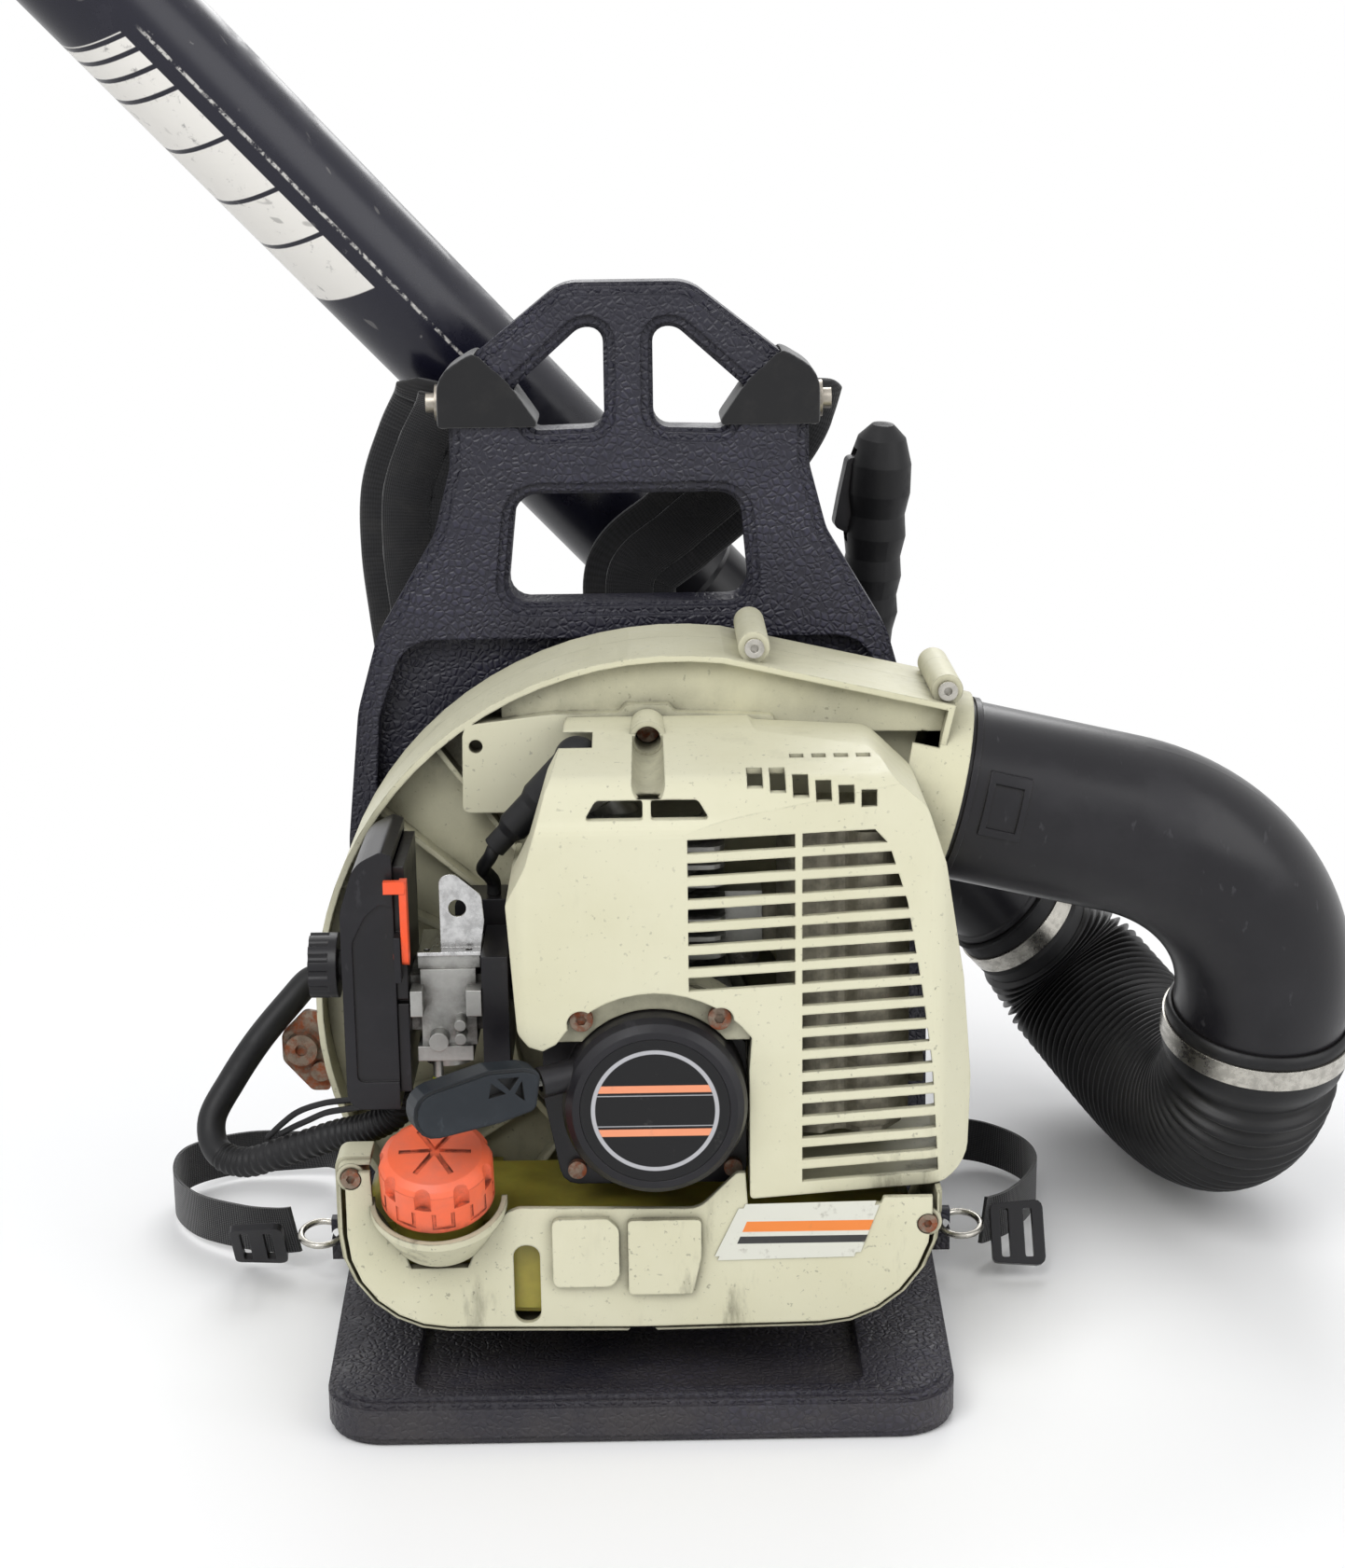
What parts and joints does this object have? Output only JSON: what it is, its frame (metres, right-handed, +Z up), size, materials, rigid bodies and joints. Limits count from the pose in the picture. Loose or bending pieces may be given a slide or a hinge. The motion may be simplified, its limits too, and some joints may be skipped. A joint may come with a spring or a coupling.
{
  "type": "backpack leaf blower",
  "caption": "Backpack leaf blower: recoil-started two-stroke engine and volute fan on a carrying frame with straps, elbow, ribbed hose and blower pipe.",
  "frame": {"origin": "middle of the base underside, on the plane the blower stands on", "axes": "+X to the right seen from the engine side, +Y towards the wearer's back, +Z up"},
  "size_m": [0.8616, 0.4595, 0.9119],
  "materials": {
    "housing_plastic": "warm greenish white moulding, worn and grimy",
    "frame_plastic": "black leather-grained moulding",
    "black_plastic": "black moulding, satin",
    "pipe_plastic": "blue-black glossy tube",
    "handle_plastic": "dark slate moulding",
    "disc_plastic": "black face plate",
    "fan_plastic": "light grey moulding",
    "orange_plastic": "orange moulding",
    "cap_plastic": "red-orange moulding, dusty",
    "tank_plastic": "fuel-stained translucent tank",
    "pad_fabric": "padded textile",
    "strap_fabric": "black nylon webbing",
    "filter_foam": "oiled foam",
    "rope_fibre": "braided cord",
    "black_rubber": "black rubber",
    "fuel_line_rubber": "yellow-green fuel tube",
    "zinc_steel": "zinc-plated steel",
    "bright_steel": "machined steel",
    "rusty_steel": "rusty steel",
    "cast_alloy": "die-cast, sooty"
  },
  "bodies": {
    "machine": {"back_frame": "frame_plastic", "back_pad": "pad_fabric", "strap_sleeves": "strap_fabric", "shoulder_strap_left": "strap_fabric", "shoulder_strap_right": "strap_fabric", "strap_bolts": "rusty_steel", "lower_straps": "strap_fabric", "strap_buckles": "black_plastic", "strap_rings": "zinc_steel", "vibration_mounts": "black_rubber", "mount_bolts": "zinc_steel", "fan_case_front": "housing_plastic", "fan_case_rear": "housing_plastic", "fan_case_screws": "zinc_steel", "intake_grille": "black_plastic", "crank_bearings": "bright_steel", "crankcase": "cast_alloy", "engine_cylinder": "cast_alloy", "spark_plug": "zinc_steel", "plug_boot": "black_rubber", "ignition_lead": "black_rubber", "ignition_coil": "black_plastic", "muffler": "zinc_steel", "intake_insulator": "black_plastic", "carburetor": "cast_alloy", "cable_bracket": "bright_steel", "fuel_line": "fuel_line_rubber", "air_filter_base": "black_plastic", "air_filter_element": "filter_foam", "air_filter_cover": "black_plastic", "engine_cover": "housing_plastic", "cover_screws": "rusty_steel", "fuel_tank": "tank_plastic", "tank_guard": "housing_plastic", "starter_housing": "black_plastic", "starter_disc": "disc_plastic", "starter_rope": "rope_fibre", "elbow_pipe": "black_plastic", "throttle_conduit": "black_plastic", "stop_wires": "black_rubber", "conduit_bracket": "rusty_steel"},
    "crank": {"crankshaft": "bright_steel", "fan": "fan_plastic", "starter_hub": "bright_steel"},
    "reel": {"starter_reel": "fan_plastic"},
    "handle": {"starter_handle": "handle_plastic"},
    "cap_seal": {"fuel_cap_seal": "black_rubber"},
    "cap": {"fuel_cap": "cap_plastic"},
    "choke": {"choke_lever": "orange_plastic"},
    "throttle": {"throttle_lever": "bright_steel"},
    "filter_knob": {"air_filter_knob": "black_plastic"},
    "hose": {"elbow_clamp": "zinc_steel", "flexible_pipe": "black_rubber"},
    "pipe_joint": {"hose_cuff": "black_rubber", "pipe_clamp": "zinc_steel"},
    "swivel": {"swivel_pipe": "black_plastic", "pipe_grip": "black_rubber"},
    "trigger": {"throttle_trigger": "black_plastic"},
    "straight": {"straight_pipe": "pipe_plastic"},
    "nozzle": {"nozzle_pipe": "black_plastic"}
  },
  "joints": [
    {"name": "crank_spin", "type": "hinge", "parent": "machine", "child": "crank", "pos_m": [0.008, 0, 0.154], "axis": [0, 1, 0], "continuous": true},
    {"name": "starter_pull", "type": "slide", "parent": "machine", "child": "handle", "axis": [-0.918, -0.3804, -0.1121], "range_m": [0, 0.45], "stiffness_N_per_m": 12, "springref_m": -0.1},
    {"name": "reel_spin", "type": "hinge", "parent": "machine", "child": "reel", "pos_m": [0.008, -0.105, 0.154], "axis": [0, -1, 0], "range_deg": [0, 1570]},
    {"name": "fuel_cap_lift", "type": "slide", "parent": "machine", "child": "cap_seal", "axis": [0, -0.342, 0.9397], "range_m": [0, 0.0063]},
    {"name": "fuel_cap_turn", "type": "hinge", "parent": "cap_seal", "child": "cap", "pos_m": [-0.09, -0.112, 0.12], "axis": [0, -0.342, 0.9397], "range_deg": [0, 720]},
    {"name": "choke_turn", "type": "hinge", "parent": "machine", "child": "choke", "pos_m": [-0.104, -0.0905, 0.216], "axis": [1, 0, 0], "range_deg": [0, 35]},
    {"name": "throttle_turn", "type": "hinge", "parent": "machine", "child": "throttle", "pos_m": [-0.082, -0.054, 0.21], "axis": [0, 0, 1], "range_deg": [0, 41]},
    {"name": "filter_knob_turn", "type": "hinge", "parent": "machine", "child": "filter_knob", "pos_m": [-0.14, -0.056, 0.201], "axis": [1, 0, 0], "range_deg": [0, 720]},
    {"name": "hose_turn", "type": "hinge", "parent": "machine", "child": "hose", "pos_m": [0.31264, 0.04536, 0.12732], "axis": [-0.0448, 0.2549, -0.9659], "range_deg": [0, 110]},
    {"name": "pipe_bend", "type": "hinge", "parent": "hose", "child": "pipe_joint", "pos_m": [0.285, 0.175, 0.06], "axis": [0, 1, 0], "range_deg": [0, 55], "deforming": ["flexible_pipe"]},
    {"name": "tube_turn", "type": "hinge", "parent": "pipe_joint", "child": "swivel", "pos_m": [0.222, 0.264, 0.119], "axis": [-0.656, -0.2167, 0.7229], "range_deg": [-10, 120]},
    {"name": "trigger_pull", "type": "hinge", "parent": "swivel", "child": "trigger", "pos_m": [0.12366, 0.20681, 0.3939], "axis": [0.1629, -0.976, -0.1448], "range_deg": [0, 12], "stiffness_Nm_per_rad": 0.5, "springref_deg": -8.59},
    {"name": "pipe_lock", "type": "hinge", "parent": "swivel", "child": "straight", "pos_m": [0.222, 0.264, 0.119], "axis": [-0.656, -0.2167, 0.7229], "range_deg": [0, 25]},
    {"name": "nozzle_lock", "type": "hinge", "parent": "straight", "child": "nozzle", "pos_m": [0.222, 0.264, 0.119], "axis": [-0.656, -0.2167, 0.7229], "range_deg": [0, 25]}
  ],
  "couplings": [
    {"joint": "reel_spin", "follows": "starter_pull", "rad_per_m": 60.6},
    {"joint": "fuel_cap_lift", "follows": "fuel_cap_turn", "m_per_rad": 0.0005},
    {"joint": "throttle_turn", "follows": "trigger_pull", "ratio": 3.33}
  ]
}
